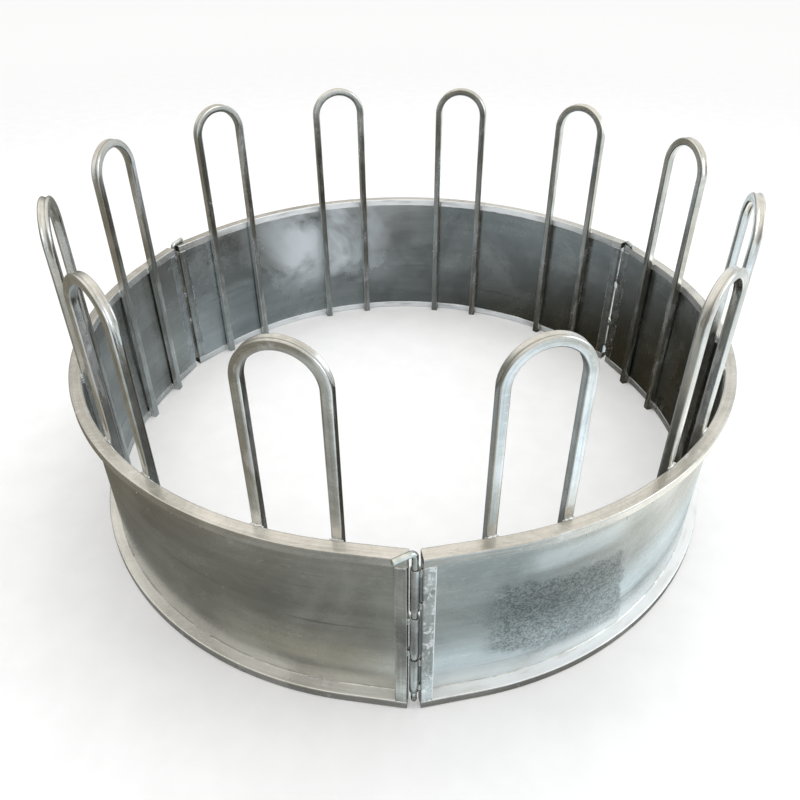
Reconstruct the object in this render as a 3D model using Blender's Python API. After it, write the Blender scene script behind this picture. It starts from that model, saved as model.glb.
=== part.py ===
"""Round bale feeder: a galvanised ring in three sections, pinned together at three hinges.

Each section is a frame of box tube, two rolled rims and two posts, with a curved sheet set
between them and four bent-tube hoops standing inside it. Tube knuckles on the end posts take
an L-shaped drop pin at each joint, so any pin can be lifted and a section swung out.

Units are metres and +Z is up. The origin is on the ring's axis at ground level. The front
joint is on -Y, and the other two joints follow at 120 degrees.
"""

import math

import bmesh
import bpy
from mathutils import Matrix, Vector

# Ring
RING_RADIUS = 1.050                # outer face of the rims, along their rolled part
RING_HEIGHT = 0.560                # top face of the upper rim
SECTIONS = 3
ROLLED_STEPS = 28                  # facets along the rolled part of a section
STRAIGHT_END = math.radians(9.5)   # share of each half section that is left straight
FIT = 0.0003                       # gap between pieces that touch

# Box tube of the frame
RIM_WIDTH = 0.035                  # across the ring
RIM_DEPTH = 0.028                  # up and down
POST_WIDTH = 0.030                 # along the ring
FRAME_WALL = 0.002

# Curved sheet
SHEET_THICKNESS = 0.002
SHEET_SETBACK = 0.001              # from the rims' inner face to the sheet's inner face

# Hoops
HOOPS_PER_SECTION = 4
HOOP_TUBE = 0.026
HOOP_WALL = 0.002
HOOP_CORNER = 0.003                # flat that stands for the tube's rounded corner
HOOP_HEIGHT = 1.061
HOOP_SPREAD = 0.187                # between the middles of a hoop's two legs
HOOP_BEND_STEPS = 12
HOOP_FACE_RADIUS = 1.0083          # the legs' outer face, just clear of the faceted rims

# Knuckles
KNUCKLE_RADIUS = 0.012
KNUCKLE_BORE = 0.0088
KNUCKLE_SIDES = 20
KNUCKLE_GAP = 0.0035               # between a knuckle and its post, filled by the welds
KNUCKLE_SPANS = {                  # heights of each knuckle's lower and upper end
    "bottom": (0.062, 0.193),
    "middle": (0.205, 0.352),
    "top": (0.378, 0.518),
}

# Drop pins
PIN_RADIUS = 0.008
PIN_BASE = 0.020                   # height of the pin's lower end
PIN_ARM = 0.057                    # from the pin's axis to the end of its arm
PIN_BEND = 0.015                   # radius of the bend's centre line
PIN_CHAMFER = 0.0015
PIN_SIDES = 16
PIN_BEND_STEPS = 6
PIN_ARM_GAP = 0.0005               # between the arm and the rim that it lies on

# Sizes that follow
HALF_SECTION = math.pi / SECTIONS
ROLLED_HALF = HALF_SECTION - STRAIGHT_END
MID_RADIUS = RING_RADIUS - RIM_WIDTH / 2
PIN_CIRCLE = MID_RADIUS / math.cos(STRAIGHT_END)
END_GAP = KNUCKLE_RADIUS + KNUCKLE_GAP    # from a pin's axis to the end face of a section
END_RUN = MID_RADIUS * math.tan(STRAIGHT_END) - END_GAP
SHEET_RUN = END_RUN - POST_WIDTH - FIT
HOOP_PITCH = 2 * HALF_SECTION / HOOPS_PER_SECTION
UP = Vector((0.0, 0.0, 1.0))

# Section name: direction of its middle, and of the joint that it swings on
SECTION_PLAN = {
    "back": (math.radians(90), None),
    "left": (math.radians(210), math.radians(150)),
    "right": (math.radians(330), math.radians(30)),
}

# Pin name: direction of its joint, direction of its arm, and the section that carries it
PIN_PLAN = {
    "front_pin": (math.radians(270), math.radians(208), "right"),
    "back_left_pin": (math.radians(150), math.radians(65), "back"),
    "back_right_pin": (math.radians(30), math.radians(272), "back"),
}

# Finish name: colour, roughness, metallic
FINISHES = {
    "galvanised_sheet": ((0.42, 0.44, 0.44), 0.38, 0.9),
    "galvanised_frame": ((0.56, 0.56, 0.53), 0.42, 0.9),
    "galvanised_hoop": ((0.49, 0.50, 0.49), 0.40, 0.9),
    "hinge_tube": ((0.38, 0.39, 0.39), 0.48, 0.9),
    "pin_steel": ((0.60, 0.64, 0.63), 0.35, 0.9),
}


def clear_scene():
    for item in list(bpy.data.objects):
        bpy.data.objects.remove(item, do_unlink=True)


def make_material(name):
    colour, roughness, metallic = FINISHES[name]
    material = bpy.data.materials.new(name)
    material.use_nodes = True
    shader = material.node_tree.nodes["Principled BSDF"]
    shader.inputs["Base Color"].default_value = (*colour, 1.0)
    shader.inputs["Roughness"].default_value = roughness
    shader.inputs["Metallic"].default_value = metallic
    return material


def polar(radius, angle, height=0.0):
    return Vector((radius * math.cos(angle), radius * math.sin(angle), height))


def rectangle(width, height, corner=0.0):
    """Outline of a rectangle centred on (0, 0), with its corners cut where corner isn't 0."""
    w, h, c = width / 2, height / 2, corner
    if corner == 0.0:
        return [(-w, -h), (w, -h), (w, h), (-w, h)]
    return [(c - w, -h), (w - c, -h), (w, c - h), (w, h - c),
            (w - c, h), (c - w, h), (-w, h - c), (-w, c - h)]


def circle(radius, sides):
    return [tuple(polar(radius, 2 * math.pi * i / sides).xy) for i in range(sides)]


def add_loop(bm, outline, centre, across, along):
    """A closed loop of edges: the outline laid in the plane of two directions."""
    verts = [bm.verts.new(centre + x * across + y * along) for x, y in outline]
    return [bm.edges.new((verts[i - 1], verts[i])) for i in range(len(verts))]


def run_straight(bm, edges, offset, scale=1.0):
    """Extrude the loops by an offset, scaled about their middle, and return the new loops."""
    moved = bmesh.ops.extrude_edge_only(bm, edges=edges)["geom"]
    verts = [item for item in moved if isinstance(item, bmesh.types.BMVert)]
    bmesh.ops.translate(bm, verts=verts, vec=offset)
    if scale != 1.0:
        middle = sum((vert.co for vert in verts), Vector()) / len(verts)
        space = Matrix.Translation(-middle)
        bmesh.ops.scale(bm, verts=verts, vec=(scale, scale, scale), space=space)
    return [item for item in moved if isinstance(item, bmesh.types.BMEdge)]


def run_bend(bm, edges, centre, axis, angle, steps):
    """Spin the loops about an axis and return the last loops."""
    turned = bmesh.ops.spin(bm, geom=edges, cent=centre, axis=axis, angle=angle, steps=steps)
    return [item for item in turned["geom_last"] if isinstance(item, bmesh.types.BMEdge)]


def finish_mesh(bm, name, first, last, smooth_angle=None):
    """Close both ends, one loop with a face and two loops with a ring of faces."""
    for edges in (first, last):
        bmesh.ops.triangle_fill(bm, edges=edges, use_beauty=True)
    bmesh.ops.recalc_face_normals(bm, faces=bm.faces)
    mesh = bpy.data.meshes.new(name)
    bm.to_mesh(mesh)
    bm.free()
    if smooth_angle is not None:
        mesh.shade_smooth()
        mesh.set_sharp_from_angle(angle=math.radians(smooth_angle))
    return mesh


def rolled_mesh(name, outlines, radius, height, end_run):
    """Bar rolled to the ring's curve, its ends left straight, its middle on +X."""
    start_angle = -ROLLED_HALF
    radial = polar(1.0, start_angle)
    tangent = UP.cross(radial)
    centre = polar(radius, start_angle, height) - end_run * tangent
    bm = bmesh.new()
    first = []
    for outline in outlines:
        first += add_loop(bm, outline, centre, radial, UP)
    loops = run_straight(bm, first, end_run * tangent)
    loops = run_bend(bm, loops, (0, 0, 0), UP, 2 * ROLLED_HALF, ROLLED_STEPS)
    last = run_straight(bm, loops, end_run * UP.cross(polar(1.0, ROLLED_HALF)))
    return finish_mesh(bm, name, first, last, smooth_angle=20)


def rim_mesh():
    """Rolled box tube, open at both ends, its top face at height 0."""
    outer = rectangle(RIM_WIDTH, RIM_DEPTH)
    inner = rectangle(RIM_WIDTH - 2 * FRAME_WALL, RIM_DEPTH - 2 * FRAME_WALL)
    return rolled_mesh("rim", (outer, inner), MID_RADIUS, -RIM_DEPTH / 2, END_RUN)


def sheet_mesh():
    """Curved sheet between the rims and the posts."""
    height = RING_HEIGHT - 2 * (RIM_DEPTH + FIT)
    inner_face = RING_RADIUS - RIM_WIDTH + SHEET_SETBACK
    outline = rectangle(SHEET_THICKNESS, height)
    radius = inner_face + SHEET_THICKNESS / 2
    return rolled_mesh("sheet", (outline,), radius, RING_HEIGHT / 2, SHEET_RUN)


def post_mesh():
    """Upright box tube that closes the end of a section, open at both ends."""
    base = RIM_DEPTH + FIT
    rise = RING_HEIGHT - 2 * base
    bm = bmesh.new()
    first = []
    for wall in (0.0, FRAME_WALL):
        outline = rectangle(RIM_WIDTH - 2 * wall, POST_WIDTH - 2 * wall)
        first += add_loop(bm, outline, base * UP, Vector((1, 0, 0)), Vector((0, 1, 0)))
    last = run_straight(bm, first, rise * UP)
    return finish_mesh(bm, "post", first, last)


def hoop_mesh():
    """Bent box tube standing in the YZ plane, both feet open and on the ground."""
    half = HOOP_SPREAD / 2
    leg = HOOP_HEIGHT - HOOP_TUBE / 2 - half
    foot = Vector((0.0, -half, 0.0))
    bore = HOOP_TUBE - 2 * HOOP_WALL
    bm = bmesh.new()
    first = []
    for outline in (rectangle(HOOP_TUBE, HOOP_TUBE, HOOP_CORNER), rectangle(bore, bore)):
        first += add_loop(bm, outline, foot, Vector((1, 0, 0)), Vector((0, 1, 0)))
    loops = run_straight(bm, first, leg * UP)
    loops = run_bend(bm, loops, leg * UP, (1, 0, 0), -math.pi, HOOP_BEND_STEPS)
    last = run_straight(bm, loops, -leg * UP)
    return finish_mesh(bm, "hoop", first, last, smooth_angle=25)


def knuckle_mesh(length):
    """Short piece of round tube, open at both ends."""
    bm = bmesh.new()
    first = []
    for radius in (KNUCKLE_RADIUS, KNUCKLE_BORE):
        outline = circle(radius, KNUCKLE_SIDES)
        first += add_loop(bm, outline, Vector(), Vector((1, 0, 0)), Vector((0, 1, 0)))
    last = run_straight(bm, first, length * UP)
    return finish_mesh(bm, "knuckle", first, last, smooth_angle=40)


def pin_mesh():
    """Round bar with a chamfered lower end and its top bent over along +X."""
    arm_height = RING_HEIGHT + PIN_ARM_GAP + PIN_RADIUS
    stem = arm_height - PIN_BEND - PIN_BASE - PIN_CHAMFER
    arm = PIN_ARM - PIN_BEND - PIN_CHAMFER
    tip_scale = (PIN_RADIUS - PIN_CHAMFER) / PIN_RADIUS
    bend_centre = Vector((PIN_BEND, 0.0, arm_height - PIN_BEND))
    out = Vector((1.0, 0.0, 0.0))
    bm = bmesh.new()
    outline = circle(PIN_RADIUS * tip_scale, PIN_SIDES)
    first = add_loop(bm, outline, PIN_BASE * UP, out, Vector((0, 1, 0)))
    loops = run_straight(bm, first, PIN_CHAMFER * UP, 1 / tip_scale)
    loops = run_straight(bm, loops, stem * UP)
    loops = run_bend(bm, loops, bend_centre, (0, 1, 0), math.pi / 2, PIN_BEND_STEPS)
    loops = run_straight(bm, loops, arm * out)
    last = run_straight(bm, loops, PIN_CHAMFER * out, tip_scale)
    return finish_mesh(bm, "pin", first, last, smooth_angle=35)


def add_hub(name, joint):
    """Empty on the axis that a section swings on, or on the ring's axis for the fixed one."""
    hub = bpy.data.objects.new(name, None)
    hub.empty_display_size = 0.1
    if joint is not None:
        hub.location = polar(PIN_CIRCLE, joint)
    bpy.context.scene.collection.objects.link(hub)
    return hub


def add_piece(name, mesh, finish, hub, place, turn):
    """Object at a place and turn about +Z in the ring's frame, parented to a hub."""
    if not mesh.materials:
        mesh.materials.append(bpy.data.materials[finish])
    piece = bpy.data.objects.new(name, mesh)
    piece.parent = hub
    piece.location = place - hub.location
    piece.rotation_euler.z = turn
    bpy.context.scene.collection.objects.link(piece)


def add_section(name, middle, hub, meshes):
    """One third of the ring, its middle in the given direction."""
    centre = Vector((0.0, 0.0, 0.0))
    add_piece(f"{name}_sheet", meshes["sheet"], "galvanised_sheet", hub, centre, middle)
    for level, height in (("top", RING_HEIGHT), ("bottom", RIM_DEPTH)):
        add_piece(f"{name}_{level}_rim", meshes["rim"], "galvanised_frame", hub, height * UP, middle)

    for place, side in (("twin", -1), ("single", 1)):
        facing = middle + side * ROLLED_HALF
        along = side * UP.cross(polar(1.0, facing))
        spot = polar(MID_RADIUS, facing) + (END_RUN - POST_WIDTH / 2) * along
        add_piece(f"{name}_{place}_knuckle_post", meshes["post"], "galvanised_frame", hub, spot, facing)

    for level, (base, _) in KNUCKLE_SPANS.items():
        side = 1 if level == "middle" else -1
        spot = polar(PIN_CIRCLE, middle + side * HALF_SECTION, base)
        add_piece(f"{name}_{level}_knuckle", meshes[f"{level}_knuckle"], "hinge_tube", hub, spot, 0.0)

    for i in range(HOOPS_PER_SECTION):
        facing = middle - HALF_SECTION + (i + 0.5) * HOOP_PITCH
        spot = polar(HOOP_FACE_RADIUS - HOOP_TUBE / 2, facing)
        add_piece(f"{name}_hoop_{i + 1}", meshes["hoop"], "galvanised_hoop", hub, spot, facing)


def main():
    clear_scene()
    for finish in FINISHES:
        make_material(finish)
    meshes = {
        "sheet": sheet_mesh(),
        "rim": rim_mesh(),
        "post": post_mesh(),
        "hoop": hoop_mesh(),
        "pin": pin_mesh(),
    }
    for level, (base, top) in KNUCKLE_SPANS.items():
        meshes[f"{level}_knuckle"] = knuckle_mesh(top - base)
    hubs = {}
    for name, (middle, joint) in SECTION_PLAN.items():
        hubs[name] = add_hub(f"{name}_hub", joint)
        add_section(name, middle, hubs[name], meshes)
    for name, (joint, arm, carrier) in PIN_PLAN.items():
        spot = polar(PIN_CIRCLE, joint)
        add_piece(name, meshes["pin"], "pin_steel", hubs[carrier], spot, arm)


main()
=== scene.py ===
"""Looks of the galvanised round bale feeder: its tubes, sheets, welds and zinc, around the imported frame.

Every piece is modelled in the ring's own frame (metres, +Z up, origin on the ring's axis at
ground level) and rides on the section or the pin that it belongs to. Each mesh carries a
"flow" attribute: metres along the piece, then its place in the piece's cross-section. The
finishes run their streaks along it.
"""

import math

import bmesh
import bpy
import numpy as np
from mathutils import Matrix, Vector


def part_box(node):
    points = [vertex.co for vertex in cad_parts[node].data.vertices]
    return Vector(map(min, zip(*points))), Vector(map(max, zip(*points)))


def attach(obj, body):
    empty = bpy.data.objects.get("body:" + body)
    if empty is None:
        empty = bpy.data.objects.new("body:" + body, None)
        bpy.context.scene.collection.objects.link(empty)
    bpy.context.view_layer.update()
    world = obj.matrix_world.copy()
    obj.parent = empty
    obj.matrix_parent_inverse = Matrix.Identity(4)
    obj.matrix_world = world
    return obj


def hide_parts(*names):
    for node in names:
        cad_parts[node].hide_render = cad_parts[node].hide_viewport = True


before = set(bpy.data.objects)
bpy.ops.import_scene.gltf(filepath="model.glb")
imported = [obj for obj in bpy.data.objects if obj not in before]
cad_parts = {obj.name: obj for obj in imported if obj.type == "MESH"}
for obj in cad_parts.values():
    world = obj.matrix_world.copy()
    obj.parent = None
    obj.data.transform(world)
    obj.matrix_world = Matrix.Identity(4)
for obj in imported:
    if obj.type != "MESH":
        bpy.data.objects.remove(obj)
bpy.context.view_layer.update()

# Sizes read from the frame
RING_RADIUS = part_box("back_top_rim")[1].y
RING_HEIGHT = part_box("back_top_rim")[1].z
RIM_DEPTH = RING_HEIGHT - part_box("back_top_rim")[0].z
HOOP_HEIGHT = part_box("back_hoop_2")[1].z
KNUCKLE_RADIUS = (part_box("back_top_knuckle")[1].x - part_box("back_top_knuckle")[0].x) / 2
PIN_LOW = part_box("front_pin")[0].z
PIN_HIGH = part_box("front_pin")[1].z

# Sizes that the frame's solids are built to
STRAIGHT_END = math.radians(9.5)
RIM_WIDTH = 0.035
POST_WIDTH = 0.030
FIT = 0.0003
WALL = 0.002
SHEET_THICKNESS = 0.002
HOOP_TUBE = 0.026
HOOP_SPREAD = 0.187
KNUCKLE_BORE = 0.0088
KNUCKLE_GAP = 0.0035
PIN_RADIUS = 0.008
PIN_ARM = 0.057
PIN_BEND = 0.015

# Sizes of what only the eye sees
TUBE_CORNER = 0.0032
HOOP_CORNER = 0.0056
HOOP_GROOVE = 0.0034
HOOP_PINCH = 0.0012
HOOP_BULGE = 0.035
SHEET_WAVE = 0.0011
SHEET_GAP = 0.0016
HOOP_BEAD = 0.0032
SEAM_BEAD = 0.0017
KNUCKLE_BEAD = 0.0040

# Sizes that follow
HALF_SECTION = math.pi / 3
ROLLED_HALF = HALF_SECTION - STRAIGHT_END
MID_RADIUS = RING_RADIUS - RIM_WIDTH / 2
PIN_CIRCLE = MID_RADIUS / math.cos(STRAIGHT_END)
END_RUN = MID_RADIUS * math.tan(STRAIGHT_END) - KNUCKLE_RADIUS - KNUCKLE_GAP
SHEET_RUN = END_RUN - POST_WIDTH - FIT
SHEET_RADIUS = RING_RADIUS - RIM_WIDTH + 0.001 + SHEET_THICKNESS / 2

MIDDLES = {"back": math.radians(90), "left": math.radians(210), "right": math.radians(330)}
PINS = {
    "front_pin": (math.radians(270), math.radians(208)),
    "back_left_pin": (math.radians(150), math.radians(65)),
    "back_right_pin": (math.radians(30), math.radians(272)),
}
UP = np.array((0.0, 0.0, 1.0))


# ---------------------------------------------------------------- shapes

def polar(radius, angle, height=0.0):
    return np.array((radius * math.cos(angle), radius * math.sin(angle), height))


def rounded_rectangle(width, height, corner, arc_steps=4, face_points=0, margin=0.0008):
    """Outline, anticlockwise, with points kept close to each rounded corner so the faces stay flat."""
    points = []
    w, h = width / 2, height / 2
    corners = [(w, h, 0), (-w, h, 1), (-w, -h, 2), (w, -h, 3)]
    for x, y, turn in corners:
        cx, cy = x - math.copysign(corner, x), y - math.copysign(corner, y)
        start = turn * math.pi / 2
        arc = []
        for i in range(arc_steps + 1):
            angle = start + i / arc_steps * math.pi / 2
            arc.append((cx + corner * math.cos(angle), cy + corner * math.sin(angle)))
        first = (arc[0][0] + margin * math.sin(start), arc[0][1] - margin * math.cos(start))
        end = start + math.pi / 2
        last = (arc[-1][0] - margin * math.sin(end), arc[-1][1] + margin * math.cos(end))
        points += [first, *arc, last]
        run = (height if turn % 2 else width) - 2 * (corner + margin)
        step = run / (face_points + 1)
        for i in range(face_points):
            reach = step * (i + 1)
            points.append((last[0] - reach * math.sin(end), last[1] + reach * math.cos(end)))
    return np.array(points)


def circle(radius, sides):
    angles = np.arange(sides) * 2 * math.pi / sides
    return np.stack((radius * np.cos(angles), radius * np.sin(angles)), axis=1)


class Skin:
    """Points, faces and flow of one piece, gathered from any number of closed bodies."""

    def __init__(self):
        self.points = []
        self.flow = []
        self.faces = []
        self.count = 0

    def add(self, points, flow, faces):
        self.points.append(np.asarray(points))
        self.flow.append(np.asarray(flow))
        self.faces += [tuple(i + self.count for i in face) for face in faces]
        self.count += len(points)

    def sweep(self, origins, across, up, run, outlines, bore=None):
        """Carry an outline, or one for each place, along a path. bore is (wall, depth) for open ends."""
        rings, size = len(origins), outlines.shape[-2]
        outlines = np.broadcast_to(outlines, (rings, size, 2))
        points = (origins[:, None] + outlines[..., :1] * across[:, None] + outlines[..., 1:] * up[:, None])
        flow = np.concatenate((np.broadcast_to(run[:, None, None], (rings, size, 1)), outlines), axis=2)
        points, flow = points.reshape(-1, 3), flow.reshape(-1, 3)
        faces = []
        for i in range(rings - 1):
            for j in range(size):
                k = (j + 1) % size
                faces.append((i * size + j, i * size + k, (i + 1) * size + k, (i + 1) * size + j))
        for ring, inward in ((0, 1), (rings - 1, -1)):
            loop = [ring * size + j for j in range(size)]
            if bore is None:
                faces.append(tuple(loop))
                continue
            wall, depth = bore
            along = np.cross(across[ring], up[ring])
            ahead = origins[ring + inward] - origins[ring]
            along = along * math.copysign(1.0, float(np.dot(along, ahead)))
            shrink = 1 - wall / np.abs(outlines[ring]).max(axis=0)
            rim = outlines[ring] * shrink
            mouth = origins[ring] + rim[:, :1] * across[ring] + rim[:, 1:] * up[ring]
            base = len(points)
            points = np.concatenate((points, mouth, mouth + depth * along))
            flow = np.concatenate((flow, flow[loop], flow[loop]))
            for j in range(size):
                k = (j + 1) % size
                faces.append((loop[j], loop[k], base + k, base + j))
                faces.append((base + j, base + k, base + size + k, base + size + j))
            faces.append(tuple(base + size + j for j in range(size)))
        self.add(points, flow, faces)

    def lathe(self, place, profile, sides):
        """Turn a closed profile of (radius, height) about an upright axis."""
        profile = np.array(profile)
        size = len(profile)
        angles = np.arange(sides) * 2 * math.pi / sides
        spokes = np.stack((np.cos(angles), np.sin(angles), 0 * angles), axis=1)
        points = place + profile[None, :, :1] * spokes[:, None] + profile[None, :, 1:] * UP
        flow = np.stack(np.broadcast_arrays(profile[None, :, 1], KNUCKLE_RADIUS * np.cos(angles)[:, None],
                                            KNUCKLE_RADIUS * np.sin(angles)[:, None]), axis=2)
        faces = []
        for i in range(sides):
            for j in range(size):
                k, n = (j + 1) % size, (i + 1) % sides
                faces.append((i * size + j, n * size + j, n * size + k, i * size + k))
        self.add(points.reshape(-1, 3), flow.reshape(-1, 3), faces)

    def bead(self, start, end, normal, radius, seed, ripple=0.0045):
        """A weld bead from start to end: a rippled, uneven half-sunk bar with blunt ends."""
        dice = np.random.default_rng(seed)
        start, end = np.asarray(start, float), np.asarray(end, float)
        length = float(np.linalg.norm(end - start))
        rings = max(7, int(length / (ripple / 4)))
        share = np.linspace(0, 1, rings)
        run = share * length
        along = (end - start) / length
        across = np.cross(along, normal)
        across /= np.linalg.norm(across)
        rise = np.cross(across, along)
        wobble = np.interp(share, np.linspace(0, 1, 6), dice.uniform(-0.25, 0.25, 6)) * radius
        swell = np.interp(share, np.linspace(0, 1, 7), dice.uniform(0.8, 1.15, 7))
        swell *= 1 + 0.10 * np.sin(2 * math.pi * run / ripple + dice.uniform(0, 6))
        cap = np.minimum(1, np.minimum(run, length - run) / (1.2 * radius))
        swell *= np.sqrt(np.clip(1 - (1 - cap) ** 2, 0.02, 1))
        origins = start + run[:, None] * along + wobble[:, None] * across
        outlines = circle(radius, 10)[None] * swell[:, None, None]
        self.sweep(origins, np.broadcast_to(across, origins.shape), np.broadcast_to(rise, origins.shape),
                   run, outlines)

    def finish(self, name, body, slot, material, replaces=(), sharp=38):
        """Make the piece, and say what it rides on, stands for and is finished with."""
        mesh = bpy.data.meshes.new(name)
        mesh.from_pydata(np.concatenate(self.points).tolist(), [], self.faces)
        bm = bmesh.new()
        bm.from_mesh(mesh)
        bmesh.ops.recalc_face_normals(bm, faces=bm.faces)
        bm.to_mesh(mesh)
        bm.free()
        flow = mesh.attributes.new("flow", "FLOAT_VECTOR", "POINT")
        flow.data.foreach_set("vector", np.concatenate(self.flow).astype(np.float32).ravel())
        mesh.materials.append(material)
        mesh.shade_smooth()
        mesh.set_sharp_from_angle(angle=math.radians(sharp))
        piece = bpy.data.objects.new(name, mesh)
        bpy.context.scene.collection.objects.link(piece)
        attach(piece, body)
        if replaces:
            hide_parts(*replaces)


def section_path(middle, radius, end_run, height, arc_steps=96, end_steps=6):
    """Places, outward and upward directions, and metres along a bar rolled to the ring's curve."""
    angles = np.linspace(-ROLLED_HALF, ROLLED_HALF, arc_steps + 1) + middle
    spokes = np.stack((np.cos(angles), np.sin(angles), 0 * angles), axis=1)
    places = radius * spokes
    steps = np.linspace(1, 0, end_steps, endpoint=False)[:, None] * end_run
    first = np.cross(spokes[0], UP) * steps + places[0]
    last = np.cross(UP, spokes[-1]) * steps[::-1] + places[-1]
    places = np.concatenate((first, places, last)) + height * UP
    ends = [np.repeat(spoke[None], end_steps, 0) for spoke in (spokes[0], spokes[-1])]
    across = np.concatenate((ends[0], spokes, ends[1]))
    run = np.concatenate(((0.0,), np.cumsum(np.linalg.norm(np.diff(places, axis=0), axis=1))))
    return places, across, np.broadcast_to(UP, places.shape), run


def section_end(middle, side):
    """Outward and lengthwise directions at one end of a section, and the middle of its end face."""
    facing = middle + side * ROLLED_HALF
    out = polar(1.0, facing)
    along = side * np.cross(UP, out)
    return out, along, polar(MID_RADIUS, facing) + END_RUN * along


# ---------------------------------------------------------------- finishes

class Finish:
    """A galvanised surface built up in layers; each method adds nodes and hands back an output."""

    def __init__(self, name):
        self.material = bpy.data.materials.new(name)
        self.material.use_nodes = True
        self.tree = self.material.node_tree
        self.shader = self.tree.nodes["Principled BSDF"]
        self.place = self.add("ShaderNodeTexCoord").outputs["Object"]
        self.flow = self.add("ShaderNodeAttribute", attribute_name="flow").outputs["Vector"]

    def add(self, kind, feeds=None, **settings):
        node = self.tree.nodes.new(kind)
        for key, value in settings.items():
            setattr(node, key, value)
        for key, value in (feeds or {}).items():
            self.feed(node.inputs[key], value)
        return node

    def feed(self, socket, value):
        if isinstance(value, bpy.types.NodeSocket):
            self.tree.links.new(value, socket)
        else:
            socket.default_value = value

    def stretch(self, vector, scale, turn=(0, 0, 0)):
        feeds = {"Vector": vector, "Scale": scale, "Rotation": turn}
        return self.add("ShaderNodeMapping", feeds).outputs["Vector"]

    def noise(self, vector, scale, detail=4.0, roughness=0.55, distortion=0.0):
        feeds = {"Vector": vector, "Scale": scale, "Detail": detail,
                 "Roughness": roughness, "Distortion": distortion}
        return self.add("ShaderNodeTexNoise", feeds).outputs["Fac"]

    def cells(self, vector, scale):
        colour = self.add("ShaderNodeTexVoronoi", {"Vector": vector, "Scale": scale}).outputs["Color"]
        return self.add("ShaderNodeSeparateColor", {"Color": colour}).outputs["Red"]

    def ramp(self, value, low, high, bottom=0.0, top=1.0):
        feeds = {"Value": value, "From Min": low, "From Max": high, "To Min": bottom, "To Max": top}
        node = self.add("ShaderNodeMapRange", feeds, interpolation_type="SMOOTHSTEP")
        return node.outputs["Result"]

    def math(self, operation, first, second):
        node = self.add("ShaderNodeMath", {0: first, 1: second}, operation=operation)
        return node.outputs["Value"]

    def plus(self, first, second):
        return self.math("ADD", first, second)

    def minus(self, first, second):
        return self.math("SUBTRACT", first, second)

    def times(self, product, *others):
        for value in others:
            product = self.math("MULTIPLY", product, value)
        return product

    def mix(self, share, first, second, blend="MIX"):
        node = self.add("ShaderNodeMix", data_type="RGBA", blend_type=blend)
        for index, value in ((0, share), (6, first), (7, second)):
            if isinstance(value, tuple):
                value = (*value, 1.0)
            self.feed(node.inputs[index], value)
        return node.outputs[2]

    def parts(self, vector):
        node = self.add("ShaderNodeSeparateXYZ", {"Vector": vector})
        return node.outputs["X"], node.outputs["Y"], node.outputs["Z"]

    def window(self, value, low, high, edge):
        """1 between low and high, falling to 0 over an edge on each side."""
        rise = self.ramp(value, low - edge, low + edge)
        fall = self.ramp(value, high - edge, high + edge, 1.0, 0.0)
        return self.times(rise, fall)


def zinc(name, dark, light, matt=0.26, cloud=3.0, streak=0.3, spangle=0.15, bloom=0.3,
         scratch=0.3, bump=0.2, metal=0.96, marks_and_light=None):
    """Hot-dip galvanised steel. dark and light bound its clouds, cloud is how fine they are and matt
    is how rough it is. The other numbers weigh its layers, and the last one adds the marks of one kind of
    piece, with painted light for some.
    """
    f = Finish(name)
    clouds = f.noise(f.place, cloud, 5.0, 0.6, 0.8)
    colour = f.mix(f.ramp(clouds, 0.36, 0.66), dark, light)

    crystals = f.plus(f.times(f.cells(f.place, 130.0), 0.6), f.times(f.cells(f.place, 60.0), 0.4))
    glitter = f.mix(f.ramp(crystals, 0.2, 0.8), (0.72, 0.73, 0.74), (1.22, 1.22, 1.2))
    colour = f.mix(spangle, colour, glitter, "MULTIPLY")

    lines = f.noise(f.stretch(f.flow, (2.5, 160.0, 160.0)), 1.0, 5.0, 0.7)
    streaks = f.mix(f.ramp(lines, 0.3, 0.7), (0.62, 0.62, 0.6), (1.3, 1.3, 1.3))
    colour = f.mix(streak, colour, streaks, "MULTIPLY")

    bloom_mask = f.ramp(f.noise(f.place, 16.0, 7.0, 0.68, 0.5), 0.60, 0.72, 0.0, bloom)
    colour = f.mix(bloom_mask, colour, (0.86, 0.89, 0.92))

    scratches = None
    for turn, density in ((0.35, 0.675), (-0.6, 0.69), (1.35, 0.70)):
        drawn = f.stretch(f.place, (14.0, 210.0, 210.0), (turn, turn * 0.7, turn * 1.3))
        line = f.ramp(f.noise(drawn, 1.0, 1.5, 0.4), density, density + 0.05, 0.0, scratch)
        scratches = line if scratches is None else f.math("MAXIMUM", scratches, line)
    colour = f.mix(scratches, colour, (0.80, 0.82, 0.82))

    roughness = f.plus(f.ramp(clouds, 0.3, 0.7, matt - 0.05, matt + 0.07), f.times(bloom_mask, 0.25))
    height = f.plus(f.times(f.noise(f.place, 240.0, 3.0), 0.2), f.times(f.noise(f.place, 30.0, 3.0), 0.8))
    height = f.plus(height, f.times(bloom_mask, 0.7))
    height = f.plus(height, f.times(lines, 0.5 * streak))
    height = f.minus(height, f.times(scratches, 0.8))
    metallic = f.minus(metal, f.times(bloom_mask, 0.5))
    if marks_and_light is not None:
        colour, roughness, metallic = marks_and_light(f, colour, roughness, metallic)
    relief = f.add("ShaderNodeBump", {"Strength": bump, "Distance": 0.0006, "Height": height})
    f.feed(f.shader.inputs["Base Color"], colour)
    f.feed(f.shader.inputs["Roughness"], roughness)
    f.feed(f.shader.inputs["Metallic"], metallic)
    f.feed(f.shader.inputs["Normal"], relief.outputs["Normal"])
    return f.material


def whiten(f, share, tint, layers, dullness=0.6):
    """Lay a pale, half-matt layer over the layers where share is above 0: pale zinc in some places, painted
    light in others.
    """
    colour, roughness, metallic = layers
    return (f.mix(share, colour, tint),
            f.plus(roughness, f.times(share, 0.15)),
            f.minus(metallic, f.times(share, dullness)))


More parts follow.
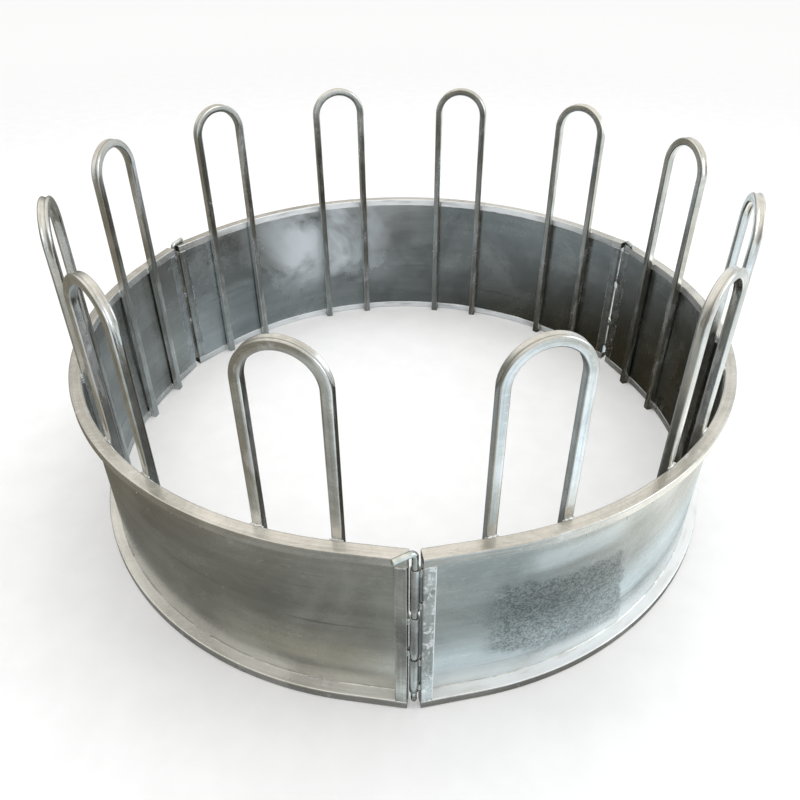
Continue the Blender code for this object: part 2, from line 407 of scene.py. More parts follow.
def rim_marks_and_light(f, colour, roughness, metallic):
    """Paler on a rim's inner face, more so towards the back, and painted light on the ledge outside the
    sheet's foot, brighter towards the right.
    """
    _, across, level = f.parts(f.flow)
    sideways, depth, height = f.parts(f.place)
    broken = f.ramp(f.noise(f.stretch(f.flow, (9.0, 60.0, 60.0)), 1.0, 4.0), 0.32, 0.52, 0.60, 0.95)
    inner_face = f.ramp(across, 0.0012 - RIM_WIDTH / 2, 0.0022 - RIM_WIDTH / 2, 1.0, 0.0)
    inner = f.times(inner_face, f.ramp(depth, 0.45, 0.90, 0.25, 1.0))
    # Painted light on the lower rim's top face, brighter towards the right.
    top_face = f.ramp(level, RIM_DEPTH / 2 - 0.0016, RIM_DEPTH / 2 - 0.0006)
    lower_rim = f.ramp(height, 0.05, 0.10, 1.0, 0.0)
    painted_ledge_light = f.times(top_face, lower_rim, f.ramp(sideways, -0.25, 0.25, 0.22, 0.85))
    share = f.times(f.math("MAXIMUM", inner, painted_ledge_light), broken)
    return whiten(f, share, (0.90, 0.94, 0.97), (colour, roughness, metallic), 0.8)


def splashes_and_highlight(f, colour, roughness, metallic):
    """Ragged white splashes, and a painted highlight down the post's edge beside the sheet."""
    _, across, along = f.parts(f.flow)
    ragged = f.noise(f.stretch(f.place, (1.0, 1.0, 0.7)), 62.0, 6.0, 0.72, 1.0)
    splash = f.ramp(ragged, 0.50, 0.60, 0.0, 0.75)
    facing = f.ramp(across, RIM_WIDTH / 2 - 0.004, RIM_WIDTH / 2 - 0.002)
    # Painted highlight down the post's edge beside the sheet.
    edge = f.ramp(along, 0.0016 - POST_WIDTH / 2, 0.0036 - POST_WIDTH / 2, 0.9, 0.0)
    share = f.times(f.math("MAXIMUM", splash, edge), facing)
    return whiten(f, share, (0.86, 0.89, 0.92), (colour, roughness, metallic))


def hoop_marks(f, colour, roughness, metallic):
    """Broad tan and pale stretches along the tube."""
    broad = f.noise(f.stretch(f.flow, (2.2, 22.0, 22.0)), 1.0, 3.0, 0.6)
    colour = f.mix(f.ramp(broad, 0.48, 0.64, 0.0, 0.35), colour, (0.62, 0.55, 0.44))
    pale = f.ramp(f.noise(f.stretch(f.flow, (7.0, 40.0, 40.0)), 1.0, 4.0, 0.6), 0.54, 0.66, 0.0, 0.35)
    return whiten(f, pale, (0.86, 0.90, 0.94), (colour, roughness, metallic), 0.3)


def rolled_lines(f, colour, strength):
    """Broad bands along a sheet, and thin dark lines in them."""
    broad = f.noise(f.stretch(f.flow, (1.2, 0.0, 24.0)), 1.0, 5.0, 0.6)
    bands = f.mix(f.ramp(broad, 0.32, 0.68), (0.75, 0.75, 0.73), (1.2, 1.2, 1.2))
    colour = f.mix(0.35, colour, bands, "MULTIPLY")
    thin = f.noise(f.stretch(f.flow, (2.4, 0.0, 95.0)), 1.0, 2.0, 0.5)
    return f.mix(f.ramp(thin, 0.66, 0.72, 0.0, strength), colour, (0.16, 0.16, 0.15))


def pale_clouds(f, strength, layers):
    """Clouds of zinc on a sheet's inner face, thickest between 1.15 and 1.62 m along it."""
    along, side, level = f.parts(f.flow)
    wash = f.ramp(f.noise(f.stretch(f.flow, (3.0, 0.0, 3.4)), 1.0, 7.0, 0.64, 0.5), 0.33, 0.66)
    thick = f.plus(f.window(along, 1.15, 1.62, 0.16), f.ramp(along, 0.3, 1.0, 0.12, 0.40))
    inner_face = f.ramp(side, -0.0004, 0.0004, 1.0, 0.15)
    share = f.times(wash, f.ramp(level, 0.06, 0.30), thick, strength, inner_face)
    return whiten(f, share, (0.74, 0.81, 0.86), layers)


def spangle_patch_and_reflection(f, layers):
    """On a sheet's outer face: a patch of dark spangle, a pale band above it and a painted reflection at
    the foot.
    """
    along, side, level = f.parts(f.flow)
    outer_face = f.ramp(side, -0.0004, 0.0004)
    ragged = f.times(f.minus(f.noise(f.place, 30.0, 5.0, 0.7), 0.5), 0.05)
    across = f.plus(along, ragged)
    climb = f.plus(level, ragged)
    near_end = f.ramp(across, 0.11, 0.19)
    far_end = f.ramp(f.plus(across, f.times(climb, 0.21)), 0.585, 0.597, 1.0, 0.0)
    upper_edge = f.ramp(f.plus(climb, f.times(across, 0.08)), 0.385, 0.405, 1.0, 0.0)
    lower_edge = f.ramp(f.plus(climb, f.times(across, 0.20)), 0.145, 0.180)
    patch = f.times(near_end, far_end, upper_edge, lower_edge, outer_face)

    colour, roughness, metallic = layers
    smears = f.noise(f.stretch(f.flow, (34.0, 0.0, 62.0)), 1.0, 6.0, 0.7)
    grains = f.plus(f.times(f.cells(f.place, 270.0), 0.35), f.times(smears, 0.65))
    mottle = f.mix(f.ramp(grains, 0.34, 0.66), (0.40, 0.41, 0.41), (0.86, 0.87, 0.87))
    colour = f.mix(patch, colour, mottle, "MULTIPLY")
    roughness = f.plus(roughness, f.times(patch, 0.10))

    band = f.times(f.window(along, 0.24, 0.50, 0.05), f.window(level, 0.41, 0.47, 0.015), outer_face, 0.35)
    layers = whiten(f, band, (0.74, 0.84, 0.90), (colour, roughness, metallic))
    # Painted reflection of the lower rim's bright top face on the sheet's foot.
    painted_foot_reflection = f.ramp(f.noise(f.stretch(f.flow, (5.0, 0.0, 12.0)), 1.0, 3.0), 0.32, 0.58, 0.35, 1.0)
    painted_foot_reflection = f.times(painted_foot_reflection, outer_face, f.ramp(level, 0.05, 0.15, 0.40, 0.0))
    return whiten(f, painted_foot_reflection, (0.84, 0.92, 0.97), layers)


def sheet_marks_and_reflection(lines=0.3, clouds=0.0, patch=False):
    """Extra layers of a sheet: rolling lines along it, pale clouds, and a patch of dark spangle with a
    painted reflection at the sheet's foot.
    """
    def marks_and_light(f, colour, roughness, metallic):
        layers = rolled_lines(f, colour, lines), roughness, metallic
        if clouds:
            layers = pale_clouds(f, clouds, layers)
        if patch:
            layers = spangle_patch_and_reflection(f, layers)
        return layers
    return marks_and_light


# ---------------------------------------------------------------- pieces

def build_rims(name, middle, finish):
    for level, top in (("top", RING_HEIGHT), ("bottom", RIM_DEPTH)):
        skin = Skin()
        outline = rounded_rectangle(RIM_WIDTH - 3 * FIT, RIM_DEPTH, TUBE_CORNER)
        path = section_path(middle, MID_RADIUS, END_RUN, top - RIM_DEPTH / 2)
        skin.sweep(*path, outline, bore=(WALL, 0.06))
        skin.finish(f"{name}_{level}_rim_tube", f"{name}_section", "galvanised_frame", finish,
                    (f"{name}_{level}_rim",))


def build_sheet(name, middle, finish, seed):
    """Thin rolled sheet, a little uneven between its edges and with a gap under its lower edge."""
    rows = 26
    places, across, up, run = section_path(middle, SHEET_RADIUS, SHEET_RUN, 0.0, 140, 8)
    low, high = RIM_DEPTH + FIT, RING_HEIGHT - RIM_DEPTH - FIT
    dice = np.random.default_rng(seed)
    gap = np.interp(run, np.linspace(0, run[-1], 24), dice.uniform(0.0, SHEET_GAP, 24))
    share = np.linspace(0, 1, rows)
    levels = (low + gap)[:, None] + (high - low - gap)[:, None] * share
    swell = np.zeros((len(run), rows))
    for _ in range(9):
        wave, climb = dice.uniform(3.5, 15.0), dice.uniform(1.0, 9.0)
        size, phase = dice.uniform(0.2, 0.6), dice.uniform(0, 6.3)
        swell += size * np.sin(wave * run[:, None] + climb * levels + phase)
    ends = np.minimum(run, run[-1] - run) / 0.16
    window = np.sin(np.pi * share) ** 0.8 * np.clip(ends, 0, 1)[:, None]
    swell = SHEET_WAVE * swell * window
    half = SHEET_THICKNESS / 2
    outer = np.stack((swell + half, levels), axis=2)
    inner = np.stack((swell - half, levels), axis=2)[:, ::-1]
    skin = Skin()
    skin.sweep(places, across, up, run, np.concatenate((outer, inner), axis=1))
    # The finish tells the two faces apart by this, whatever the sheet's waves
    side = np.where(np.arange(2 * rows) < rows, half, -half)
    skin.flow[-1][:, 1] = np.tile(side, len(run))
    skin.finish(f"{name}_sheet_plate", f"{name}_section", "galvanised_sheet", finish, (f"{name}_sheet",))


def build_posts(name, middle, finishes):
    for kind, side in (("twin", -1), ("single", 1)):
        out, along, end = section_end(middle, side)
        spot = end - POST_WIDTH / 2 * along
        heights = np.linspace(RIM_DEPTH + FIT, RING_HEIGHT - RIM_DEPTH - FIT, 24)
        origins = spot + heights[:, None] * UP
        outline = rounded_rectangle(RIM_WIDTH - 2 * FIT, POST_WIDTH, TUBE_CORNER)
        skin = Skin()
        skin.sweep(origins, np.broadcast_to(out, origins.shape), np.broadcast_to(along, origins.shape),
                   heights, outline)
        node = f"{name}_{kind}_knuckle_post"
        skin.finish(f"{node}_tube", f"{name}_section", "galvanised_frame", finishes[kind], (node,))


def hoop_outline(groove):
    """Section of the hoop tube; groove 0 is the straight tube and 1 the middle of its bend."""
    outline = rounded_rectangle(HOOP_TUBE, HOOP_TUBE, HOOP_CORNER, 5, 5).copy()
    half = HOOP_TUBE / 2
    flat = half - HOOP_CORNER + 0.0006
    x, y = outline[:, 0], outline[:, 1]
    dish = np.clip(1 - (x / flat) ** 2, 0, 1)
    on_outer, on_inner = y > half - 0.0012, y < 0.0012 - half
    outline[:, 1] -= np.where(on_outer, HOOP_GROOVE * groove * dish, 0.0)
    outline[:, 1] += np.where(on_inner, HOOP_PINCH * groove * dish, 0.0)
    outline[:, 0] *= 1 + HOOP_BULGE * groove * np.clip(1 - (y / half) ** 2, 0, 1)
    return outline


def hoop_place(name, index):
    """Middle, between the legs, and facing direction of a hoop, from its solid."""
    low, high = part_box(f"{name}_hoop_{index}")
    centre = (low + high) / 2
    return np.array((centre.x, centre.y, 0.0)), math.atan2(centre.y, centre.x)


def build_hoops(name, finish):
    half = HOOP_SPREAD / 2
    leg = HOOP_HEIGHT - HOOP_TUBE / 2 - half
    bend_steps, leg_steps = 44, 26
    for index in range(1, 5):
        middle, facing = hoop_place(name, index)
        out = polar(1.0, facing)
        side = np.cross(UP, out)
        heights = np.linspace(0, leg, leg_steps, endpoint=False)
        turns = np.linspace(0, math.pi, bend_steps + 1)
        first = middle - half * side + heights[:, None] * UP
        bend = middle + leg * UP - half * np.cos(turns)[:, None] * side + half * np.sin(turns)[:, None] * UP
        last = middle + half * side + heights[::-1, None] * UP
        normals = np.concatenate((
            np.repeat(-side[None], leg_steps, 0),
            -np.cos(turns)[:, None] * side + np.sin(turns)[:, None] * UP,
            np.repeat(side[None], leg_steps, 0)))
        origins = np.concatenate((first, bend, last))
        run = np.concatenate(((0.0,), np.cumsum(np.linalg.norm(np.diff(origins, axis=0), axis=1))))
        into = np.clip(np.minimum(run - leg, leg + math.pi * half - run) / 0.05 + 0.4, 0, 1)
        outlines = np.stack([hoop_outline(float(g * g * (3 - 2 * g))) for g in into])
        skin = Skin()
        skin.sweep(origins, np.broadcast_to(out, origins.shape), normals, run, outlines, bore=(WALL, 0.05))
        node = f"{name}_hoop_{index}"
        skin.finish(f"{node}_tube", f"{name}_section", "galvanised_hoop", finish, (node,))


def build_knuckles(name, finish):
    for level in ("top", "middle", "bottom"):
        node = f"{name}_{level}_knuckle"
        low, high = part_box(node)
        centre = (low + high) / 2
        length = high.z - low.z
        outer, inner, ease = KNUCKLE_RADIUS, KNUCKLE_BORE, 0.0007
        profile = [(inner + ease, 0), (outer - ease, 0), (outer - 0.3 * ease, 0.3 * ease), (outer, ease)]
        profile += [(outer, length * share) for share in (0.2, 0.4, 0.6, 0.8)]
        profile += [(outer, length - ease), (outer - 0.3 * ease, length - 0.3 * ease)]
        profile += [(outer - ease, length), (inner + ease, length), (inner, length - ease), (inner, ease)]
        skin = Skin()
        skin.lathe(np.array((centre.x, centre.y, low.z)), profile, 48)
        skin.finish(f"{node}_tube", f"{name}_section", "hinge_tube", finish, (node,))


def build_pin(name, joint, arm, finish):
    """Round bar with eased ends, its top bent over into a short arm."""
    spot, out = polar(PIN_CIRCLE, joint), polar(1.0, arm)
    arm_height = PIN_HIGH - PIN_RADIUS
    stem_top = arm_height - PIN_BEND
    ease = 0.0014
    heights = np.concatenate(((PIN_LOW, PIN_LOW + 0.4 * ease), np.linspace(PIN_LOW + ease, stem_top, 20)))
    turns = np.linspace(0, math.pi / 2, 15)[1:]
    reach = np.concatenate((np.linspace(PIN_BEND, PIN_ARM - ease, 8)[1:], (PIN_ARM - 0.4 * ease, PIN_ARM)))
    stem = spot + heights[:, None] * UP
    bend = (spot + (PIN_BEND * (1 - np.cos(turns)))[:, None] * out
            + (stem_top + PIN_BEND * np.sin(turns))[:, None] * UP)
    tail = spot + reach[:, None] * out + arm_height * UP
    normals = np.concatenate((np.repeat(-out[None], len(stem), 0),
                              -np.cos(turns)[:, None] * out + np.sin(turns)[:, None] * UP,
                              np.repeat(UP[None], len(tail), 0)))
    origins = np.concatenate((stem, bend, tail))
    run = np.concatenate(((0.0,), np.cumsum(np.linalg.norm(np.diff(origins, axis=0), axis=1))))
    scale = np.ones(len(origins))
    scale[[0, -1]], scale[[1, -2]] = 0.80, 0.93
    skin = Skin()
    skin.sweep(origins, np.broadcast_to(np.cross(UP, out), origins.shape), normals, run,
               circle(PIN_RADIUS - 0.0001, 28)[None] * scale[:, None, None])
    skin.finish(f"{name}_bar", name, "pin_steel", finish, (name,), sharp=50)


def build_hoop_welds(name, finish):
    """Beads up both sides of each leg at the two rims, and across its outer face at the upper one."""
    skin = Skin()
    rim_inner = RING_RADIUS - RIM_WIDTH
    seed = 100
    for index in range(1, 5):
        _, facing = hoop_place(name, index)
        out = polar(1.0, facing)
        side = np.cross(UP, out)
        for leg in (-1, 1):
            for edge in (-1, 1):
                shift = leg * HOOP_SPREAD / 2 + edge * (HOOP_TUBE / 2 + 0.0006)
                reach = math.sqrt(rim_inner ** 2 - shift ** 2) - 0.0018
                foot = shift * side + reach * out
                for top in (RING_HEIGHT, RIM_DEPTH):
                    seed += 1
                    skin.bead(foot + (top - RIM_DEPTH + 0.003) * UP, foot + (top - 0.0008) * UP,
                              -out, HOOP_BEAD, seed)
            seed += 1
            spread = HOOP_TUBE / 2 - 0.001
            reach = math.sqrt(rim_inner ** 2 - (HOOP_SPREAD / 2) ** 2) - 0.0012
            crown = leg * HOOP_SPREAD / 2 * side + reach * out + (RING_HEIGHT - 0.0016) * UP
            skin.bead(crown - spread * side, crown + spread * side, UP, 0.0030, seed)
    skin.finish(f"{name}_hoop_welds", f"{name}_section", "galvanised_frame", finish, sharp=70)


def build_post_welds(name, middle, finish):
    """Seams between the posts and the rims, and between the posts and the sheet's ends."""
    skin = Skin()
    seed = 300
    sheet_level = SHEET_RADIUS - MID_RADIUS + SHEET_THICKNESS / 2
    for side in (-1, 1):
        out, along, end = section_end(middle, side)
        start = end - POST_WIDTH * along
        for level in (RIM_DEPTH, RING_HEIGHT - RIM_DEPTH):
            for face in (-1, 1):
                seed += 1
                shift = face * (RIM_WIDTH / 2 - 0.0010) * out + level * UP
                skin.bead(start + 0.002 * along + shift, end - 0.002 * along + shift,
                          face * out, SEAM_BEAD, seed)
            seed += 1
            shift = level * UP - 0.0009 * along
            reach = RIM_WIDTH / 2 - 0.004
            skin.bead(end + shift - reach * out, end + shift + reach * out, along, SEAM_BEAD, seed)
        dice = np.random.default_rng(seed)
        height = RIM_DEPTH + 0.01
        base = start - 0.0004 * along + sheet_level * out
        while height < RING_HEIGHT - RIM_DEPTH - 0.03:
            length = dice.uniform(0.025, 0.06)
            top = min(height + length, RING_HEIGHT - RIM_DEPTH - 0.006)
            seed += 1
            skin.bead(base + height * UP, base + top * UP, out - along, 0.0022, seed)
            height = top + dice.uniform(0.02, 0.06)
    skin.finish(f"{name}_post_welds", f"{name}_section", "galvanised_frame", finish, sharp=70)


def build_knuckle_welds(name, middle, finish):
    """Fat beads in the gap between each knuckle and its post, and spatter on the posts' inner faces."""
    skin = Skin()
    seed = 500
    for level in ("top", "middle", "bottom"):
        low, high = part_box(f"{name}_{level}_knuckle")
        centre = (low + high) / 2
        axis = np.array((centre.x, centre.y, 0.0))
        out, along, _ = section_end(middle, 1 if level == "middle" else -1)
        for face in (-1, 1):
            groove = axis - (KNUCKLE_RADIUS + KNUCKLE_GAP / 2 - 0.0006) * along + face * 0.0048 * out
            for base, length in ((low.z + 0.003, 0.020), (high.z - 0.025, 0.022)):
                seed += 1
                skin.bead(groove + base * UP, groove + (base + length) * UP, face * out, KNUCKLE_BEAD, seed)
    dice = np.random.default_rng(seed + len(name))
    for side in (-1, 1):
        out, along, end = section_end(middle, side)
        inner_face = end - (RIM_WIDTH / 2 - 0.0012) * out
        for _ in range(16):
            spot = inner_face - dice.uniform(0.002, POST_WIDTH - 0.002) * along
            spot = spot + dice.uniform(0.06, 0.50) * UP
            length, radius = dice.uniform(0.002, 0.005), dice.uniform(0.0014, 0.0024)
            seed += 1
            skin.bead(spot, spot + length * UP, -out, radius, seed)
    skin.finish(f"{name}_knuckle_welds", f"{name}_section", "galvanised_frame", finish, sharp=70)


def build_seam_welds(name, middle, finish, seed):
    """Stitches along the sheet's outer face, in the corners that it makes with the rims."""
    skin = Skin()
    dice = np.random.default_rng(seed)
    outer_radius = SHEET_RADIUS + SHEET_THICKNESS / 2
    places, across, up, run = section_path(middle, outer_radius, SHEET_RUN, 0.0, 400, 24)
    profile = 0.6 * np.array(((-0.0008, -0.0008), (0.0042, -0.0004), (0.0030, 0.0006), (0.0016, 0.0014),
                              (0.0007, 0.0026), (-0.0001, 0.0040), (-0.0008, 0.0040)))
    for level, flip in ((RIM_DEPTH, 1), (RING_HEIGHT - RIM_DEPTH, -1)):
        start = dice.uniform(0.0, 0.04)
        while start < run[-1] - 0.05:
            end = min(start + dice.uniform(0.06, 0.22), run[-1])
            inside = np.nonzero((run >= start) & (run <= end))[0]
            if len(inside) > 4:
                local = run[inside]
                taper = np.minimum(local - local[0], local[-1] - local) / 0.006
                uneven = np.interp(local, np.linspace(local[0], local[-1], 9), dice.uniform(0.75, 1.15, 9))
                size = np.sqrt(np.clip(taper, 0.03, 1)) * uneven
                outlines = profile[None] * np.array((1, flip)) * size[:, None, None]
                skin.sweep(places[inside] + level * UP, across[inside], up[inside], local, outlines)
            start = end + dice.uniform(0.015, 0.075)
    skin.finish(f"{name}_seam_welds", f"{name}_section", "galvanised_frame", finish, sharp=60)


def build_runs(name, middle, finish, seed):
    """Runs and beads of zinc that froze on the rims' lower edges as the section was lifted out."""
    skin = Skin()
    dice = np.random.default_rng(seed)
    for rim, level in (("upper", RING_HEIGHT - RIM_DEPTH), ("lower", 0.004)):
        for _ in range(9):
            angle = middle + dice.uniform(-0.95, 0.95) * ROLLED_HALF
            length = dice.uniform(0.006, 0.016) if rim == "upper" else 0.006
            start = level + 0.002 if rim == "upper" else level + 0.002 + length
            top = polar(RING_RADIUS - 0.0016, angle, start)
            radius, shape = dice.uniform(0.0009, 0.0012), int(dice.integers(1, 9999))
            skin.bead(top, top - length * UP, polar(1.0, angle), radius, shape, 0.02)
    skin.finish(f"{name}_zinc_runs", f"{name}_section", "galvanised_frame", finish, sharp=70)


# ---------------------------------------------------------------- studio

def build_camera():
    """At eye level, about a metre in front of the front joint, looking down into the ring."""
    heading, pitch, roll = math.radians(2.12), math.radians(33.07), math.radians(0.466)
    data = bpy.data.cameras.new("camera")
    data.lens = 31.89
    data.sensor_width = 36.0
    data.shift_x = -0.0181
    data.shift_y = -0.0629
    camera = bpy.data.objects.new("camera", data)
    camera.location = (-0.0433, -2.0751, 1.7536)
    level_view = math.cos(pitch)
    view = Vector((math.sin(heading) * level_view, math.cos(heading) * level_view, -math.sin(pitch)))
    turned = view.to_track_quat("-Z", "Y").to_matrix() @ Matrix.Rotation(roll, 3, "Z")
    camera.rotation_mode = "QUATERNION"
    camera.rotation_quaternion = turned.to_quaternion()
    bpy.context.scene.collection.objects.link(camera)
    bpy.context.scene.camera = camera


def add_light(name, place, target, size, power, colour, mirrored):
    data = bpy.data.lights.new(name, "AREA")
    data.shape = "RECTANGLE"
    data.size, data.size_y = size
    data.energy = power
    data.color = colour
    light = bpy.data.objects.new(name, data)
    light.location = place
    light.rotation_mode = "QUATERNION"
    light.rotation_quaternion = (Vector(target) - Vector(place)).to_track_quat("-Z", "Y")
    light.visible_glossy = mirrored
    bpy.context.scene.collection.objects.link(light)


def build_studio():
    scene = bpy.context.scene
    scene.view_settings.view_transform = "Standard"
    world = bpy.data.worlds.new("studio")
    world.use_nodes = True
    scene.world = world
    tree = world.node_tree
    nodes, link = tree.nodes, tree.links.new
    backdrop = nodes["Background"]
    direction = nodes.new("ShaderNodeTexCoord").outputs["Generated"]
    split = nodes.new("ShaderNodeSeparateXYZ")
    link(direction, split.inputs["Vector"])

    def ramp(value, stops):
        node = nodes.new("ShaderNodeValToRGB")
        for _ in range(len(stops) - 2):
            node.color_ramp.elements.new(0.5)
        for element, (position, colour) in zip(node.color_ramp.elements, stops):
            element.position = position
            element.color = (*colour, 1.0)
        spread = nodes.new("ShaderNodeMapRange")
        spread.inputs["From Min"].default_value = -1.0
        link(value, spread.inputs["Value"])
        link(spread.outputs["Result"], node.inputs["Fac"])
        return node.outputs["Color"]

    sideways = ramp(split.outputs["X"], [(0.0, (0.18, 0.17, 0.14)), (0.42, (0.40, 0.39, 0.36)),
                                         (0.60, (0.72, 0.74, 0.75)), (1.0, (1.05, 1.10, 1.15))])
    overhead = ramp(split.outputs["X"], [(0.0, (1.12, 1.06, 0.96)), (0.5, (1.20, 1.12, 1.00)),
                                         (1.0, (1.08, 1.02, 0.92))])
    upward = ramp(split.outputs["Z"], [(0.52, (0.0,) * 3), (0.73, (0.42,) * 3),
                                       (0.80, (0.85,) * 3), (0.88, (1.0,) * 3)])
    mirrored = nodes.new("ShaderNodeMix")
    mirrored.data_type = "RGBA"
    link(upward, mirrored.inputs[0])
    link(sideways, mirrored.inputs[6])
    link(overhead, mirrored.inputs[7])
    seen = nodes.new("ShaderNodeMix")
    seen.data_type = "RGBA"
    link(nodes.new("ShaderNodeLightPath").outputs["Is Glossy Ray"], seen.inputs[0])
    seen.inputs[6].default_value = (0.97, 0.97, 0.97, 1.0)
    link(mirrored.outputs[2], seen.inputs[7])
    link(seen.outputs[2], backdrop.inputs["Color"])
    backdrop.inputs["Strength"].default_value = 1.0

    build_floor()
    add_light("overhead", (0.0, 0.6, 4.2), (0, 0, 0), (5.0, 5.0), 95.0, (1.0, 1.0, 1.0), False)
    add_light("right_window", (4.5, -1.5, 2.4), (0, 0, 0.4), (2.4, 3.0), 60.0, (0.97, 0.99, 1.0), True)


def painted_reflection_colour(f, reach):
    """Painted reflection for the zinc to mirror: painted light and shade on the ground around and inside
    the ring, by its distance from the ring's axis.
    """
    x, y, _ = f.parts(f.place)
    # Painted light and shade on the ground outside the ring: dark to the left, brighter to the right.
    outside = f.mix(f.ramp(x, -1.5, -0.2), (0.168, 0.152, 0.118), (0.26, 0.265, 0.245))
    outside = f.mix(f.ramp(x, -0.15, 0.35), outside, (0.37, 0.41, 0.41))
    outside = f.mix(f.ramp(x, 0.50, 1.30), outside, (0.98, 0.96, 0.89))
    far = f.mix(f.ramp(x, 1.0, 1.8), (0.66, 0.75, 0.82), (0.57, 0.59, 0.58))
    far = f.mix(f.ramp(x, 0.1, 0.7), outside, far)
    outside = f.mix(f.ramp(reach, 1.50, 1.75), outside, far)
    ahead = f.times(f.ramp(y, -2.3, -1.6, 1.0, 0.0), f.window(x, -1.2, 0.35, 0.3))
    outside = f.mix(ahead, outside, (0.46, 0.475, 0.46))
    # Painted light: the ground grows brighter from 1.26 to 1.46 m out, most to the right.
    lift = f.ramp(reach, 1.26, 1.46, 1.0, f.ramp(x, 0.1, 0.5, 1.50, 1.70))
    lift = f.add("ShaderNodeCombineColor", {0: lift, 1: lift, 2: lift}).outputs["Color"]
    outside = f.mix(1.0, outside, lift, "MULTIPLY")

    # Painted light: a bright band on the ground just outside the rims, cream to the left and blue-white to
    # the right.
    painted_bright_band = f.mix(f.ramp(x, -0.25, 0.2), (0.60, 0.575, 0.47), (1.20, 1.38, 1.46))
    painted_bright_band = f.mix(f.ramp(x, -0.9, -0.2), outside, painted_bright_band)
    outside = f.mix(f.ramp(reach, 1.10, 1.17), painted_bright_band, outside)
    # Painted shadow: a dark ring on the ground at the ring's foot, 1.072 to 1.090 m from the axis.
    outside = f.mix(f.ramp(reach, 1.072, 1.090), (0.22, 0.22, 0.21), outside)

    # Painted shade inside the ring, cast by its walls: darkest by the right wall and near the front joint.
    inside = f.mix(f.ramp(x, -0.95, 0.75), (0.36, 0.40, 0.42), (0.032, 0.026, 0.014))
    near = f.times(f.ramp(x, -0.04, 0.12), f.ramp(y, -0.35, -0.05, 1.0, 0.0))
    inside = f.mix(near, inside, (0.035, 0.029, 0.020))

    painted_ground_light = f.mix(f.ramp(reach, 1.0, 1.04), inside, outside)
    patches = f.ramp(f.noise(f.place, 3.0, 4.0, 0.6), 0.3, 0.7)
    return f.mix(0.35, painted_ground_light, f.mix(patches, (0.6, 0.6, 0.6), (1.4, 1.4, 1.4)), "MULTIPLY")


def build_floor():
    """Pale seamless floor. In reflections it glows instead with painted light and shade, a painted
    reflection of the ground for the zinc to mirror.
    """
    mesh = bpy.data.meshes.new("floor")
    bm = bmesh.new()
    bmesh.ops.create_circle(bm, cap_ends=True, segments=64, radius=30.0)
    bm.to_mesh(mesh)
    bm.free()
    floor = bpy.data.objects.new("floor", mesh)
    floor.location.z = -0.0005
    bpy.context.scene.collection.objects.link(floor)
    f = Finish("pale_floor")
    f.shader.inputs["Roughness"].default_value = 0.9
    f.shader.inputs["Specular IOR Level"].default_value = 0.1
    reach = f.add("ShaderNodeVectorMath", {0: f.place}, operation="LENGTH").outputs["Value"]
    pale = f.mix(f.ramp(f.noise(f.place, 9.0, 5.0), 0.3, 0.7), (0.86, 0.86, 0.86), (0.89, 0.89, 0.89))
    pale = f.mix(f.ramp(reach, 3.0, 10.0), pale, (0.99, 0.99, 0.99))
    f.feed(f.shader.inputs["Base Color"], pale)
    # Painted reflection: glossy rays see the floor glow with painted light and shade.
    painted_glow = f.add("ShaderNodeEmission", {"Color": painted_reflection_colour(f, reach)}).outputs["Emission"]
    glossy = f.add("ShaderNodeLightPath").outputs["Is Glossy Ray"]
    mixed = f.add("ShaderNodeMixShader", {0: glossy, 1: f.shader.outputs["BSDF"], 2: painted_glow})
    f.tree.links.new(mixed.outputs["Shader"], f.tree.nodes["Material Output"].inputs["Surface"])
    mesh.materials.append(f.material)


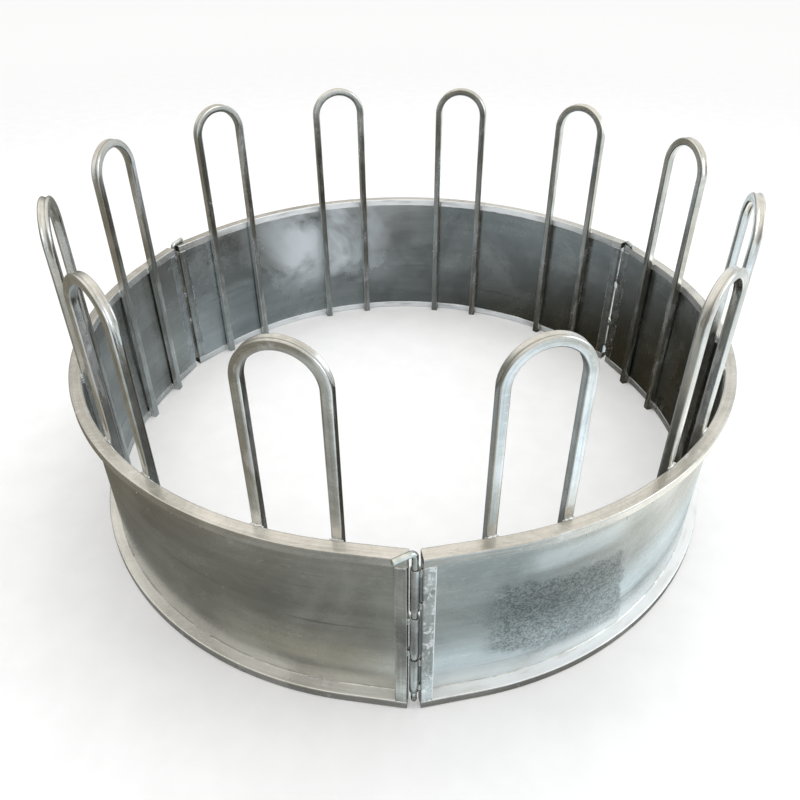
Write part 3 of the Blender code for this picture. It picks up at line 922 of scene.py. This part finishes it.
def sheet_finishes():
    """One finish for each section's sheet, because their marks differ and the right one also carries a
    painted reflection at its foot.
    """
    plain = {"streak": 0.0, "spangle": 0.08, "bump": 0.12, "metal": 0.99}
    return {
        "back": zinc("zinc_sheet_back", (0.44, 0.47, 0.47), (0.60, 0.63, 0.63), 0.24, bloom=0.12,
                     marks_and_light=sheet_marks_and_reflection(clouds=0.85), **plain),
        "left": zinc("zinc_sheet_left", (0.44, 0.44, 0.42), (0.56, 0.57, 0.55), 0.26, bloom=0.15,
                     marks_and_light=sheet_marks_and_reflection(clouds=0.15, lines=0.5), **plain),
        "right": zinc("zinc_sheet_right", (0.48, 0.51, 0.51), (0.60, 0.63, 0.63), 0.24, bloom=0.12,
                      marks_and_light=sheet_marks_and_reflection(patch=True), **plain),
    }


def main():
    build_camera()
    build_studio()
    tube = zinc("zinc_tube", (0.52, 0.52, 0.50), (0.70, 0.70, 0.68), 0.24, bloom=0.35, marks_and_light=rim_marks_and_light)
    posts = {
        "single": zinc("zinc_post_plain", (0.40, 0.41, 0.40), (0.60, 0.62, 0.61), 0.26,
                       cloud=9.0, streak=0.5),
        "twin": zinc("zinc_post_splashed", (0.44, 0.46, 0.46), (0.64, 0.67, 0.68), 0.28,
                     cloud=9.0, marks_and_light=splashes_and_highlight),
    }
    hoop = zinc("zinc_hoop", (0.50, 0.51, 0.49), (0.76, 0.77, 0.76), 0.19,
                cloud=5.0, streak=0.35, spangle=0.08, bump=0.15, marks_and_light=hoop_marks)
    hinge = zinc("zinc_hinge", (0.40, 0.42, 0.42), (0.62, 0.64, 0.65), 0.30, cloud=14.0, bloom=0.5)
    bar = zinc("zinc_bar", (0.52, 0.58, 0.57), (0.80, 0.84, 0.83), 0.22, cloud=20.0, spangle=0.05)
    weld = zinc("zinc_weld", (0.55, 0.57, 0.57), (0.88, 0.90, 0.91), 0.34,
                cloud=60.0, streak=0.0, bloom=0.5, scratch=0.0, metal=0.8)
    seam = zinc("zinc_seam", (0.50, 0.51, 0.50), (0.74, 0.75, 0.74), 0.30,
                cloud=22.0, streak=0.0, scratch=0.0)
    sheets = sheet_finishes()
    for number, (name, middle) in enumerate(MIDDLES.items()):
        build_rims(name, middle, tube)
        build_sheet(name, middle, sheets[name], 11 + number)
        build_posts(name, middle, posts)
        build_hoops(name, hoop)
        build_knuckles(name, hinge)
        build_hoop_welds(name, weld)
        build_post_welds(name, middle, weld)
        build_knuckle_welds(name, middle, weld)
        build_seam_welds(name, middle, seam, 41 + number)
        build_runs(name, middle, seam, 71 + number)
    for name, (joint, arm) in PINS.items():
        build_pin(name, joint, arm, bar)


main()
